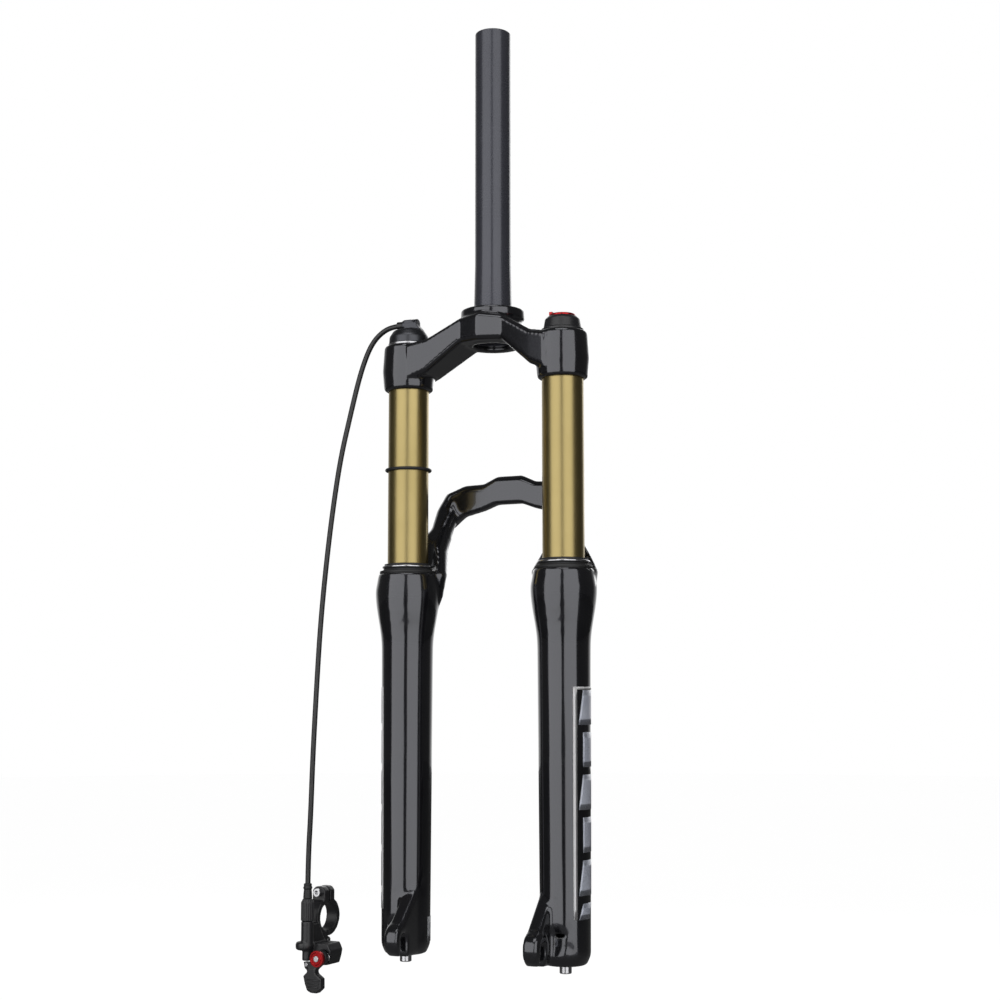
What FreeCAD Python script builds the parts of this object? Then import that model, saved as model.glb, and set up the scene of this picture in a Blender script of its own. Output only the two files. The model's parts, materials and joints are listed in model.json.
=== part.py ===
import FreeCAD, Part
import math
import os
import re
import Sketcher

# Air-sprung bicycle suspension fork with a cable-operated lockout and its handlebar remote.
# Millimetres. The origin is the crown-race seat on the steerer axis, +Z runs up the steerer,
# +X towards the rider's left leg (the air leg) and -Y towards the front of the bicycle.

DIMENSIONS = {
    # the whole fork
    "leg_spacing": 132,
    "leg_offset": 17,
    "travel": 100,
    "running": 0.05,
    # steerer and crown
    "steerer_dia": 28.6,
    "steerer_wall": 2.6,
    "steerer_top": 229.5,
    "steerer_flare": 38,
    "race_dia": 30,
    "press_dia": 30.6,
    "race_land": 6,
    "disc_dia": 51.4,
    "disc_thick": 7,
    "crown_depth": 29,
    "crown_lip": 4,
    "socket_dia": 42,
    "socket_top": 26,
    "socket_foot": 63,
    # stanchions
    "stanchion_dia": 32,
    "stanchion_wall": 1.8,
    "stanchion_foot": 378,
    # lower legs
    "rim_depth": 208,
    "rim_dia": 45.8,
    "belly_dia": 50.6,
    "leg_dia": 40.3,
    "ankle_dia": 37.6,
    "leg_foot": 500,
    "floor_thick": 12,
    "seal_dia": 43,
    "seal_seat": 9,
    "foam_tall": 10,
    "bushing_wall": 1.1,
    "bushing_tall": 20,
    "upper_bushing_depth": 230,
    "lower_bushing_depth": 350,
    "relief": 0.7,
    "chamber_gap": 0.8,
    # arch behind the wheel
    "arch_front": 28,
    "arch_thick": 13,
    "arch_crest": 121.5,
    "arch_tall": 23.5,
    # dropouts and brake mount
    "hub_width": 100,
    "ear_thick": 11,
    "axle_dia": 9.2,
    "axle_reach": 33,
    "axle_depth": 485,
    "nut_seat_dia": 21,
    "nut_pocket_dia": 31,
    "pocket_deep": 14,
    "ear_tip_dia": 26,
    "post_spacing": 74.2,
    "post_rise": 30,
    "post_inset": 5.5,
    "post_face": 13,
    "post_dia": 17,
    "post_hole": 5,
    "post_hole_deep": 11,
    # springs, dampers and their shafts
    "shaft_dia": 10,
    "seal_head_tall": 16,
    "piston_tall": 12,
    "damper_piston_depth": 346,
    "air_piston_depth": 302,
    "valve_depth": 118,
    "valve_tall": 16,
    "rod_dia": 6,
    "ring_section": 2,
    "foot_bolt_dia": 6,
    "foot_bolt_head": 9,
    "foot_bolt_proud": 5.5,
    "bumper_tall": 8,
    "spring_wire": 2.4,
    "spring_turns": 6,
    # caps, lockout and sag ring
    "cap_tall": 18,
    "cap_flange_dia": 33.4,
    "lockout_top": 12,
    "cable_stop_depth": 8,
    "cable_stop_reach": 5,
    "spool_dia": 18,
    "spool_cable_radius": 5.8,
    "sag_ring_depth": 126,
    "sag_ring_section": 2.4,
    "valve_cap_dia": 20,
    "valve_stem_dia": 7.7,
    # cable housing and its ends
    "housing_dia": 4.2,
    "ferrule_long": 5,
    "boot_long": 16,
    # handlebar remote, in its own frame about the handlebar
    "remote_turn": -6.2,
    "remote_x": -154,
    "remote_y": 8.85,
    "remote_depth": 480.7,
    "bar_dia": 22.2,
    "strap_thick": 4,
    "strap_wide": 10.6,
    "column_x": 3.2,
    "column_y": -25.7,
    "column_dia": 9.8,
    "barrel_dia": 10.4,
    "barrel_tall": 17,
    "pivot_x": 17,
    "pivot_drop": 28,
    "nipple_drop": 34.2,
    "pivot_dia": 4,
    "button_dia": 12.6,
    "lever_face": -22.5,
    "lever_thick": 4.5,
}

# Route of the cable housing from the stop on the lockout to the boot on the remote.
HOUSING_ROUTE = [
    (-71, -17, -8),
    (-81, -17, -8),
    (-90.6, -17.2, -11.8),
    (-98.8, -17.6, -19.7),
    (-104.8, -18, -31.5),
    (-111, -18.5, -50),
    (-118, -19, -78),
    (-126.3, -19.4, -112),
    (-132.8, -19.8, -153),
    (-138.6, -20, -200),
    (-143.2, -20, -248),
    (-146.4, -19.6, -300),
    (-149.4, -18.8, -352),
    (-151.4, -17.8, -400),
    (-153.4, -17, -428),
    (-153.6, -17, -452),
]

FLARE_STEPS = 8
SIDES = {"damper": "-leg_spacing / 2", "air": "leg_spacing / 2"}
LEG_Y = "-leg_offset"
REMOTE = ("remote_x", "remote_y", "-remote_depth", "remote_turn")

doc = FreeCAD.newDocument("suspension_fork")
sheet = doc.addObject("Spreadsheet::Sheet", "dims")
for row, (alias, value) in enumerate(DIMENSIONS.items(), 1):
    sheet.set(f"A{row}", alias)
    sheet.set(f"B{row}", str(value))
    sheet.setAlias(f"B{row}", alias)
doc.recompute()

subparts = []


def bound(formula):
    """The formula as an expression on the sheet's cells."""
    def cell(word):
        name = word.group()
        return "dims." + name if name in DIMENSIONS else name
    return re.sub(r"[a-z]\w*", cell, str(formula))


def number(formula):
    return float(sheet.evalExpression(bound(formula)))


def size(piece, **formulas):
    for name, formula in formulas.items():
        piece.setExpression(name, bound(formula))
    return piece


def place(piece, x=0, y=0, z=0, turn=0):
    piece.setExpression("Placement.Base.x", bound(x))
    piece.setExpression("Placement.Base.y", bound(y))
    piece.setExpression("Placement.Base.z", bound(z))
    if turn:
        piece.Placement.Rotation = FreeCAD.Rotation(FreeCAD.Vector(0, 0, 1), number(turn))
        piece.setExpression("Placement.Rotation.Angle", bound(turn))
    return piece


def keep(piece, name):
    """Make a shape one of the fork's sub-parts, under the name of its file."""
    piece.Label = name
    subparts.append(piece)
    return piece


def origin_plane(body, role):
    return next(item for item in body.Origin.OriginFeatures if item.Role == role)


def outline(body, name, role, points, offset=0):
    """A closed sketch through the points, each held to its formulas."""
    sketch = body.newObject("Sketcher::SketchObject", name)
    sketch.AttachmentSupport = (origin_plane(body, role), [""])
    sketch.MapMode = "FlatFace"
    sketch.setExpression("AttachmentOffset.Base.z", bound(offset))
    corners = [FreeCAD.Vector(number(point[0]), number(point[1]), 0) for point in points]
    count = len(corners)
    for index, corner in enumerate(corners):
        sketch.addGeometry(Part.LineSegment(corner, corners[(index + 1) % count]))
    joins = [Sketcher.Constraint("Coincident", i, 2, (i + 1) % count, 1) for i in range(count)]
    sketch.addConstraint(joins)
    for index, corner in enumerate(corners):
        across = sketch.addConstraint(Sketcher.Constraint("DistanceX", -1, 1, index, 1, corner.x))
        along = sketch.addConstraint(Sketcher.Constraint("DistanceY", -1, 1, index, 1, corner.y))
        sketch.setExpression(f"Constraints[{across}]", bound(points[index][0]))
        sketch.setExpression(f"Constraints[{along}]", bound(points[index][1]))
    return sketch


def turned(name, points, x=0, y=0):
    """A turned piece: (radius, height) points spun about +Z, a third value rounds that corner."""
    body = doc.addObject("PartDesign::Body", name)
    sketch = outline(body, name + "_outline", "XZ_Plane", points)
    spin = body.newObject("PartDesign::Revolution", name + "_spin")
    spin.Profile = sketch
    spin.ReferenceAxis = (sketch, ["V_Axis"])
    spin.Angle = 360
    body.Tip = spin
    rounds = {}
    for point in points:
        if len(point) == 3:
            rounds.setdefault(point[2], []).append((number(point[0]), number(point[1])))
    for index, (radius, corners) in enumerate(rounds.items()):
        doc.recompute()
        base = body.Tip
        edges = []
        for number_of_edge, edge in enumerate(base.Shape.Edges, 1):
            if not isinstance(edge.Curve, Part.Circle):
                continue
            for across, height in corners:
                same_radius = abs(edge.Curve.Radius - across) < 0.01
                if same_radius and abs(edge.Curve.Center.z - height) < 0.01:
                    edges.append(f"Edge{number_of_edge}")
        fillet = body.newObject("PartDesign::Fillet", f"{name}_round_{index}")
        fillet.Base = (base, edges)
        fillet.setExpression("Radius", bound(radius))
        body.Tip = fillet
    return place(body, x, y)


def prism(name, role, points, start, length):
    """A flat outline on an origin plane, from start along the plane's normal for length."""
    body = doc.addObject("PartDesign::Body", name)
    sketch = outline(body, name + "_outline", role, points, start)
    pad = body.newObject("PartDesign::Pad", name + "_pad")
    pad.Profile = sketch
    pad.setExpression("Length", bound(length))
    body.Tip = pad
    return body


def loft(name, role, sections, ruled=True):
    """A body through (offset, points) sections on planes parallel to an origin plane."""
    body = doc.addObject("PartDesign::Body", name)
    sketches = []
    for index, (offset, points) in enumerate(sections):
        sketches.append(outline(body, f"{name}_section_{index}", role, points, offset))
    skin = body.newObject("PartDesign::AdditiveLoft", name + "_skin")
    skin.Profile = sketches[0]
    skin.Sections = sketches[1:]
    skin.Ruled = ruled
    body.Tip = skin
    return body


def cylinder(name, diameter, length, at=(0, 0, 0), along="Z"):
    """A plain cylinder from the point at, along an axis of its frame."""
    piece = doc.addObject("Part::Cylinder", name)
    size(piece, Radius=f"({diameter}) / 2", Height=length)
    turns = {"X": (FreeCAD.Vector(0, 1, 0), 90), "Y": (FreeCAD.Vector(1, 0, 0), -90)}
    if along in turns:
        piece.Placement.Rotation = FreeCAD.Rotation(*turns[along])
    return place(piece, *at)


def block(name, sizes, corner):
    piece = doc.addObject("Part::Box", name)
    size(piece, Length=sizes[0], Width=sizes[1], Height=sizes[2])
    return place(piece, *corner)


def torus(name, radius, section, at):
    piece = doc.addObject("Part::Torus", name)
    size(piece, Radius1=radius, Radius2=section)
    return place(piece, *at)


def chained(kind, name, first, others):
    """Boolean steps one after another, the last one under the given name."""
    result = first
    for index, other in enumerate(others, 1):
        step = doc.addObject(kind, name if index == len(others) else f"{name}_step_{index}")
        step.Base = result
        step.Tool = other
        step.Refine = False
        result = step
    return result


def fuse(name, pieces):
    return chained("Part::Fuse", name, pieces[0], pieces[1:])


def cut(name, base, tools):
    return chained("Part::Cut", name, base, tools)


def group(name, pieces):
    """Separate solids of one kind in one sub-part."""
    piece = doc.addObject("Part::Compound", name)
    piece.Links = pieces
    return piece


def ring(name, outer, inner, top, foot, x=0, y=0):
    """A plain turned ring or sleeve between two heights, diameters given."""
    points = [(f"({inner}) / 2", foot), (f"({outer}) / 2", foot),
              (f"({outer}) / 2", top), (f"({inner}) / 2", top)]
    return turned(name, points, x, y)


def pair(name, make):
    """One solid in each leg, kept as a group."""
    members = [make(f"{name}_{side}", x) for side, x in SIDES.items()]
    return keep(group(name + "_pair", members), name)


def steerer_and_crown():
    bore = "steerer_dia / 2 - steerer_wall"
    steerer = turned("steerer", [
        (bore, "crown_lip - crown_depth"),
        ("press_dia / 2", "crown_lip - crown_depth"),
        ("press_dia / 2", 0),
        ("race_dia / 2", 0),
        ("race_dia / 2", "race_land"),
        ("steerer_dia / 2", "steerer_flare"),
        ("steerer_dia / 2", "steerer_top", 0.8),
        (bore, "steerer_top"),
    ])
    keep(steerer, "steerer_tube")

    hub = turned("crown_hub", [
        ("press_dia / 2", "1.4 - crown_depth"),
        ("press_dia / 2 + 1.4", "-crown_depth"),
        ("disc_dia / 2 - 2", "-crown_depth", 2),
        ("disc_dia / 2 - 2", "-disc_thick - 2"),
        ("disc_dia / 2", "-disc_thick", 1),
        ("disc_dia / 2", 0, 0.8),
        ("press_dia / 2", 0),
    ])
    sections = [
        ("leg_spacing / 2 - 8", "-leg_offset - 20", "-leg_offset + 18", "-socket_foot + 6",
         "-socket_top - 1"),
        ("leg_spacing / 3", "-leg_offset - 16.5", "-leg_offset + 17", "-socket_foot + 12",
         "-socket_top + 2"),
        ("leg_spacing / 7.5", "-leg_offset - 9.5", 14, "-crown_depth + 0.6", "-disc_thick - 1"),
        (0, "-leg_offset - 14", 20, "-crown_depth + 0.8", "-disc_thick + 1.2"),
    ]
    bevel = 3

    def arm_section(front, rear, foot, top):
        return [
            (f"{front} + {bevel}", foot), (f"{rear} - {bevel}", foot),
            (rear, f"{foot} + {bevel}"), (rear, f"{top} - {bevel}"),
            (f"{rear} - {bevel}", top), (f"{front} + {bevel}", top),
            (front, f"{top} - {bevel}"), (front, f"{foot} + {bevel}"),
        ]

    stations = [(f"-({offset})", arm_section(*shape)) for offset, *shape in sections]
    stations += [(offset, arm_section(*shape)) for offset, *shape in reversed(sections[:-1])]
    arms = loft("crown_arms", "YZ_Plane", stations)
    sockets = []
    wells = [cylinder("steerer_well", "press_dia + 3", "crown_depth + 4", (0, 0, "-crown_depth - 2"))]
    for side, x in SIDES.items():
        sockets.append(turned(f"crown_socket_{side}", [
            ("stanchion_dia / 2", "-socket_foot"),
            ("socket_dia / 2 - 1.4", "-socket_foot", 3),
            ("socket_dia / 2", "-socket_foot + 16", 14),
            ("socket_dia / 2 - 1.4", "-socket_top", 3),
            ("stanchion_dia / 2", "-socket_top"),
        ], x, LEG_Y))
        wells.append(cylinder(f"socket_well_{side}", "stanchion_dia + 4", "socket_foot + 2",
                              (x, LEG_Y, "-socket_foot - 1")))
    crown = fuse("crown", [hub, cut("crown_bridge", arms, wells), *sockets])
    keep(crown, "fork_crown")


def stanchions():
    for side, x in SIDES.items():
        tube = turned(f"stanchion_{side}_tube", [
            ("stanchion_dia / 2 - stanchion_wall", "-stanchion_foot"),
            ("stanchion_dia / 2", "-stanchion_foot", 0.6),
            ("stanchion_dia / 2", "-socket_top - 1"),
            ("stanchion_dia / 2 - stanchion_wall", "-socket_top - 1"),
        ], x, LEG_Y)
        keep(tube, f"stanchion_{side}")
    reach = "sag_ring_section / 2"
    ring_piece = torus("sag_ring_torus", f"stanchion_dia / 2 + {reach} + running", reach,
                       (SIDES["damper"], LEG_Y, "-sag_ring_depth"))
    keep(ring_piece, "sag_ring")


def damper_top():
    x = SIDES["damper"]
    inside = "stanchion_dia / 2 - stanchion_wall"
    rod_hole = "rod_dia / 2 + running"
    keep(turned("damper_cap", [
        (rod_hole, "-socket_top - cap_tall"),
        (inside, "-socket_top - cap_tall"),
        (inside, "-socket_top - 1"),
        ("cap_flange_dia / 2 - 0.8", "-socket_top - 1"),
        ("cap_flange_dia / 2 - 0.8", "-socket_top"),
        ("cap_flange_dia / 2", "-socket_top"),
        ("cap_flange_dia / 2", "-socket_top + 1.6", 0.4),
        (rod_hole, "-socket_top + 1.6"),
    ], x, LEG_Y), "damper_top_cap")

    dome = turned("cover_dome", [
        (11.5, "-socket_top + 1.6"),
        ("cap_flange_dia / 2 - 0.5", "-socket_top + 1.6"),
        ("cap_flange_dia / 2 - 1", "-socket_top + 7.5", 4),
        (12.4, "-lockout_top - 1.4", 3),
        (6, "-lockout_top"),
        (0, "-lockout_top"),
        (0, "-lockout_top - 3"),
        (11.5, "-lockout_top - 4"),
    ], x, LEG_Y)
    stop = cylinder("cover_stop", 8.4, "cable_stop_reach + 8", (
        f"{x} - cable_stop_reach", LEG_Y, "-cable_stop_depth"), "X")
    ridge = prism("cover_ridge", "XZ_Plane", [
        (f"{x} - 3", "-lockout_top - 1"), (f"{x} + 12", "-lockout_top - 3"),
        (f"{x} + 11.5", "-lockout_top - 0.6"), (f"{x} + 3.4", "-cable_stop_depth + 3.6"),
        (f"{x} - 3", "-cable_stop_depth + 3.6"),
    ], "leg_offset - 4", 8)
    keep(fuse("cover", [dome, stop, ridge]), "lockout_cover")

    keep(turned("spool", [
        ("rod_dia / 2", "-socket_top + 2"),
        ("spool_dia / 2", "-socket_top + 2"),
        ("spool_dia / 2", "-socket_top + 4"),
        ("spool_cable_radius", "-socket_top + 4.6"),
        ("spool_cable_radius", "-socket_top + 6.4"),
        ("spool_dia / 2", "-socket_top + 7"),
        ("spool_dia / 2", "-socket_top + 9"),
        ("rod_dia / 2", "-socket_top + 9"),
    ], x, LEG_Y), "lockout_spool")
    keep(cylinder("rod", "rod_dia", "valve_depth + valve_tall / 2 - socket_top + 9",
                  (x, LEG_Y, "-valve_depth - valve_tall / 2")), "compression_rod")
    keep(turned("valve_body", [
        (0, "-valve_depth - valve_tall"),
        (inside, "-valve_depth - valve_tall"),
        (inside, "-valve_depth - valve_tall * 0.62"),
        (f"{inside} - ring_section * 0.8", "-valve_depth - valve_tall * 0.62"),
        (f"{inside} - ring_section * 0.8", "-valve_depth - valve_tall * 0.38"),
        (inside, "-valve_depth - valve_tall * 0.38"),
        (inside, "-valve_depth"),
        (rod_hole, "-valve_depth"),
        (rod_hole, "-valve_depth - valve_tall / 2 - 0.4"),
        (0, "-valve_depth - valve_tall / 2 - 0.4"),
    ], x, LEG_Y), "compression_valve")


def air_top():
    x = SIDES["air"]
    inside = "stanchion_dia / 2 - stanchion_wall"
    stem = "valve_stem_dia / 2"
    keep(turned("air_cap", [
        (stem, "-socket_top - cap_tall"),
        (inside, "-socket_top - cap_tall"),
        (inside, "-socket_top - 1"),
        ("cap_flange_dia / 2 - 0.8", "-socket_top - 1"),
        ("cap_flange_dia / 2 - 0.8", "-socket_top"),
        ("cap_flange_dia / 2 - 0.3", "-socket_top"),
        ("cap_flange_dia / 2 - 0.3", "-socket_top + 1.6", 0.6),
        ("cap_flange_dia / 2 - 2.1", "-socket_top + 2.4"),
        ("cap_flange_dia / 2 - 3.3", "-socket_top + 9.4", 1.2),
        ("valve_cap_dia / 2 + 0.4", "-socket_top + 12.2", 0.4),
        ("valve_cap_dia / 2 + 0.4", "-socket_top + 11"),
        (stem, "-socket_top + 11"),
    ], x, LEG_Y), "air_top_cap")
    keep(turned("stem_tube", [
        (2.2, "-socket_top - cap_tall - 3"),
        (f"{stem} + 1.6", "-socket_top - cap_tall - 3"),
        (f"{stem} + 1.6", "-socket_top - cap_tall"),
        (stem, "-socket_top - cap_tall"),
        (stem, "-socket_top + 12.6", 0.4),
        (2.2, "-socket_top + 12.6"),
    ], x, LEG_Y), "air_valve_stem")
    keep(turned("core_pin", [
        (0, "-socket_top - cap_tall + 2"), (2.2, "-socket_top - cap_tall + 2"),
        (2.2, "-socket_top + 8"), (0.9, "-socket_top + 8.6"),
        (0.9, "-socket_top + 11.8"), (0, "-socket_top + 11.8"),
    ], x, LEG_Y), "air_valve_core")
    cap_hollow = f"{stem} + running"
    crown_of_cap = turned("cap_turned", [
        (cap_hollow, "-socket_top + 11.3"),
        ("valve_cap_dia / 2", "-socket_top + 11.3"),
        ("valve_cap_dia / 2", "-socket_top + 13.4", 0.7),
        (2.5, "-socket_top + 14.2"),
        (0, "-socket_top + 14.2"),
        (0, "-socket_top + 12.9"),
        (cap_hollow, "-socket_top + 12.9"),
    ], x, LEG_Y)
    tab = block("cap_tab", (2.6, 5, 3.4), (f"{x} - valve_cap_dia / 2", f"{LEG_Y} - 2.5",
                                           "-socket_top + 12.6"))
    keep(fuse("valve_cap", [crown_of_cap, tab]), "air_valve_cap")


def leg_hollow(wall=0):
    """The stepped hollow of a lower leg, from its floor up, made wider by a share of the wall."""
    bushing_bore = f"stanchion_dia / 2 + running + bushing_wall + {wall}"
    chamber = f"stanchion_dia / 2 + chamber_gap + {wall}"
    foam_bore = f"seal_dia / 2 - 2.5 + {wall}"
    seal_bore = f"seal_dia / 2 + {wall}"
    lower_foot = "-lower_bushing_depth - bushing_tall"
    upper_foot = "-upper_bushing_depth - bushing_tall"
    foam_foot = "-rim_depth - seal_seat - foam_tall"
    return [
        (chamber, "-leg_foot + floor_thick"),
        (chamber, lower_foot),
        (bushing_bore, lower_foot),
        (bushing_bore, "-lower_bushing_depth"),
        (f"{bushing_bore} + relief", "-lower_bushing_depth"),
        (f"{bushing_bore} + relief", upper_foot),
        (bushing_bore, upper_foot),
        (bushing_bore, foam_foot),
        (foam_bore, foam_foot),
        (foam_bore, "-rim_depth - seal_seat"),
        (seal_bore, "-rim_depth - seal_seat"),
        (seal_bore, "-rim_depth"),
    ]


def lower_casting():
    rim = "rim_dia / 2"
    foot_hole = "foot_bolt_dia / 2 + 0.2"
    # the leg widens to the belly of its boss on half a cosine wave
    shares = [step / FLARE_STEPS for step in range(FLARE_STEPS)]
    flare = [(f"leg_dia / 2 + (belly_dia - leg_dia) / 4 * {1 - math.cos(math.pi * share):.5f}",
              f"-rim_depth - 60 + 46 * {share:.5f}") for share in shares]
    legs = []
    cores = []
    for side, x in SIDES.items():
        legs.append(turned(f"leg_{side}", [
            (foot_hole, "-leg_foot"),
            ("ankle_dia / 2 - 3", "-leg_foot", 1.5),
            ("ankle_dia / 2", "-leg_foot + 7", 4),
            *flare,
            ("belly_dia / 2", "-rim_depth - 14", 8),
            (rim, "-rim_depth", 1.2),
            *reversed(leg_hollow()),
            (foot_hole, "-leg_foot + floor_thick"),
        ], x, LEG_Y))
        core = [(0, "-leg_foot + floor_thick - 1"),
                ("stanchion_dia / 2 + chamber_gap + 0.9", "-leg_foot + floor_thick - 1")]
        cores.append(turned(f"core_{side}", [
            *core, *leg_hollow(0.9)[1:], ("seal_dia / 2 + 0.9", "-rim_depth + 30"),
            (0, "-rim_depth + 30")], x, LEG_Y))
    beam, *blanks = arch_pieces() + dropout_ears() + brake_posts()
    hollowed = [cut(f"{piece.Name}_hollowed", piece, cores) for piece in blanks]
    pockets = []
    for side, start in (("air", "hub_width / 2 + ear_thick"),
                        ("damper", "-hub_width / 2 - ear_thick - pocket_deep")):
        rounds = [cylinder(f"nut_pocket_{level}_{side}", "nut_pocket_dia", "pocket_deep",
                           (start, "-leg_offset - axle_reach", f"-axle_depth + {rise}"), "X")
                  for level, rise in (("low", 0), ("mid", 4), ("high", 8))]
        pockets.append(fuse(f"nut_pocket_{side}", rounds))
    legs = [cut(f"{leg.Name}_pocketed", leg, [pocket]) for leg, pocket in zip(legs, reversed(pockets))]
    casting = cut("casting", fuse("casting_blank", [beam, *hollowed, *legs]), post_holes())
    keep(casting, "lower_legs")


def arch_pieces():
    """The arch behind the wheel: a beam from leg to leg and a root wrapped round each leg's rear."""
    rear = "arch_front + arch_thick"
    beam_stations = [
        ("-leg_spacing / 2 + 13", "arch_crest + 17", "arch_crest + 48"),
        ("-leg_spacing / 2 + 26", "arch_crest + 12", "arch_crest + 37.5"),
        ("-23", "arch_crest + 11.5", "arch_crest + 33.5"),
        ("-11", "arch_crest + 6", "arch_crest + arch_tall + 5.5"),
        ("11", "arch_crest + 6", "arch_crest + arch_tall + 5.5"),
        ("23", "arch_crest + 11.5", "arch_crest + 33.5"),
        ("leg_spacing / 2 - 26", "arch_crest + 12", "arch_crest + 37.5"),
        ("leg_spacing / 2 - 13", "arch_crest + 17", "arch_crest + 48"),
    ]
    stations = []
    for offset, crest, sill in beam_stations:
        stations.append((offset, [
            ("arch_front + 2", f"-({sill})"), (f"{rear} - 3", f"-({sill})"),
            (rear, f"-({sill}) + 3"), (rear, f"-({crest}) - 3"),
            (f"{rear} - 3", f"-({crest})"), ("arch_front + 4", f"-({crest})"),
            ("arch_front", f"-({crest}) - 4"), ("arch_front", f"-({sill}) + 2"),
        ]))
    pieces = [loft("arch_beam", "YZ_Plane", stations)]
    # root sections, from the top down: inner and outer edge from the leg's axis, front and rear
    root_stations = [
        ("-arch_crest - 17.5", (-23, -9, 46.4, 57.4)),
        ("-arch_crest - 32", (-22, -2, 42, 56.8)),
        ("-arch_crest - 48", (-20, -3, 30, 49)),
        ("-arch_crest - 66", (-22, 7, 14, 34)),
        ("-rim_depth - 1", (-29, 24, 0, 17)),
        ("-rim_depth - 18", (-26, 22, 0, 16)),
        ("-rim_depth - 42", (-17, 14, 1, 14)),
    ]
    for side, sign in (("air", 1), ("damper", -1)):
        x = SIDES[side]
        sections = []
        for height, (inner, outer, front, back) in root_stations:
            corner = 5
            sections.append((height, [
                (f"{x} + {sign * inner}", f"{front} + {corner} - leg_offset"),
                (f"{x} + {sign * (inner + corner)}", f"{front} - leg_offset"),
                (f"{x} + {sign * (outer - corner)}", f"{front} - leg_offset"),
                (f"{x} + {sign * outer}", f"{front} + {corner} - leg_offset"),
                (f"{x} + {sign * outer}", f"{back} - {corner} - leg_offset"),
                (f"{x} + {sign * (outer - corner)}", f"{back} - leg_offset"),
                (f"{x} + {sign * (inner + corner)}", f"{back} - leg_offset"),
                (f"{x} + {sign * inner}", f"{back} - {corner} - leg_offset"),
            ]))
        pieces.append(loft(f"arch_root_{side}", "XY_Plane", sections))
    return pieces


def dropout_ears():
    """A forged plate inside each foot, reaching forward to the axle, with a seat for its nut."""
    axle_y = "-leg_offset - axle_reach"
    shape = [
        (LEG_Y, "-axle_depth + 44"),
        ("-leg_offset - 12", "-axle_depth + 36"),
        (f"{axle_y} - ear_tip_dia * 0.48", "-axle_depth + 3.6"),
        (f"{axle_y} - 2", "-axle_depth - ear_tip_dia * 0.49"),
        ("-leg_offset - 16", "-axle_depth - 14"),
        (LEG_Y, "-axle_depth - 14"),
    ]
    pieces = []
    for side, start, seat in (
        ("air", "hub_width / 2", "hub_width / 2 + ear_thick - 1"),
        ("damper", "-hub_width / 2 - ear_thick", "-hub_width / 2 - ear_thick - 1.5"),
    ):
        plate = prism(f"ear_plate_{side}", "YZ_Plane", shape, start, "ear_thick")
        tip = cylinder(f"ear_tip_{side}", "ear_tip_dia", "ear_thick", (start, axle_y, "-axle_depth"), "X")
        nut_seat = cylinder(f"nut_seat_{side}", "nut_seat_dia", 2.5,
                            (seat, axle_y, "-axle_depth"), "X")
        hole = cylinder(f"axle_hole_{side}", "axle_dia", "ear_thick + 10",
                        (f"{start} - 5", axle_y, "-axle_depth"), "X")
        way = block(f"axle_way_{side}", ("ear_thick + 10", "axle_dia", 30),
                    (f"{start} - 5", f"{axle_y} - axle_dia / 2", "-axle_depth - 30"))
        pieces.append(cut(f"ear_{side}", fuse(f"ear_blank_{side}", [plate, tip, nut_seat]), [hole, way]))
    return pieces


def brake_posts():
    """Two posts behind the air leg for the disc caliper, with webs down to the leg."""
    x = "hub_width / 2 + post_inset"
    pieces = []
    for name, rise in (("low", "post_rise"), ("high", "post_rise + post_spacing")):
        pieces.append(cylinder(f"post_{name}", "post_dia", "post_face + leg_offset",
                               (x, LEG_Y, f"-axle_depth + {rise}"), "Y"))
        pieces.append(block(f"post_web_{name}", (6, "post_face + leg_offset - 4", "post_dia + 12"), (
            f"{x} - 3", LEG_Y, f"-axle_depth + {rise} - post_dia / 2 - 6")))
    return pieces


def post_holes():
    x = "hub_width / 2 + post_inset"
    return [
        cylinder(f"post_hole_{name}", "post_hole", "post_hole_deep + 1",
                 (x, "post_face - post_hole_deep", f"-axle_depth + {rise}"), "Y")
        for name, rise in (("low", "post_rise"), ("high", "post_rise + post_spacing"))
    ]


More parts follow.
